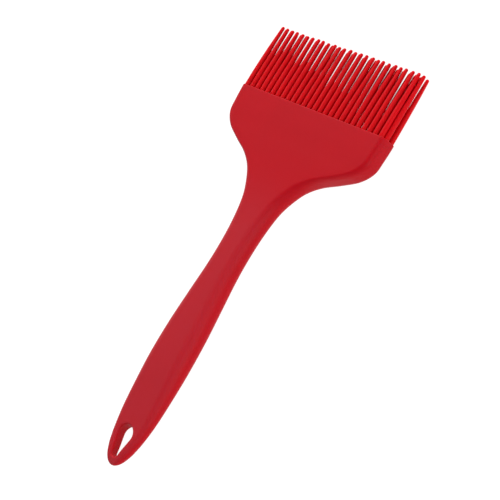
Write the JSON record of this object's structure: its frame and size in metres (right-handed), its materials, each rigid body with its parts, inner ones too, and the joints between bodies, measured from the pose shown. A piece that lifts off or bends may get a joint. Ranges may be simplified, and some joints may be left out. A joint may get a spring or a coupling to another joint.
{
  "type": "pastry brush",
  "caption": "Wide flat silicone pastry brush with a slim tapered handle, a hanging hole and rows of soft bristles, for spreading glaze or butter.",
  "frame": {"origin": "under the middle of the brush's bounding box, at the surface it rests on when it lies on its back", "axes": "+Y along the handle towards the bristle tips, +X across the width of the head, +Z out of the face of the head"},
  "size_m": [0.1142, 0.2636, 0.0133],
  "materials": {
    "silicone": "satin",
    "core": "matte",
    "bristle_silicone": "satin"
  },
  "bodies": {
    "handle": {"handle_skin": "silicone", "handle_core": "core", "bristle_block": "bristle_silicone"},
    "front_row": {"front_bristle_row": "bristle_silicone"},
    "second_row": {"second_bristle_row": "bristle_silicone"},
    "third_row": {"third_bristle_row": "bristle_silicone"},
    "rear_row": {"rear_bristle_row": "bristle_silicone"}
  },
  "joints": [
    {"name": "front_row_bend", "type": "hinge", "parent": "handle", "child": "front_row", "pos_m": [0, 0.09125, 0.00998], "axis": [1, 0, 0], "range_deg": [-30, 30], "stiffness_Nm_per_rad": 0.03},
    {"name": "second_row_bend", "type": "hinge", "parent": "handle", "child": "second_row", "pos_m": [0, 0.09125, 0.00753], "axis": [1, 0, 0], "range_deg": [-30, 30], "stiffness_Nm_per_rad": 0.03},
    {"name": "third_row_bend", "type": "hinge", "parent": "handle", "child": "third_row", "pos_m": [0, 0.09125, 0.00507], "axis": [1, 0, 0], "range_deg": [-30, 30], "stiffness_Nm_per_rad": 0.03},
    {"name": "rear_row_bend", "type": "hinge", "parent": "handle", "child": "rear_row", "pos_m": [0, 0.09125, 0.00262], "axis": [1, 0, 0], "range_deg": [-30, 30], "stiffness_Nm_per_rad": 0.03}
  ],
  "couplings": [
    {"joint": "second_row_bend", "follows": "front_row_bend", "ratio": 1},
    {"joint": "third_row_bend", "follows": "front_row_bend", "ratio": 1},
    {"joint": "rear_row_bend", "follows": "front_row_bend", "ratio": 1}
  ]
}
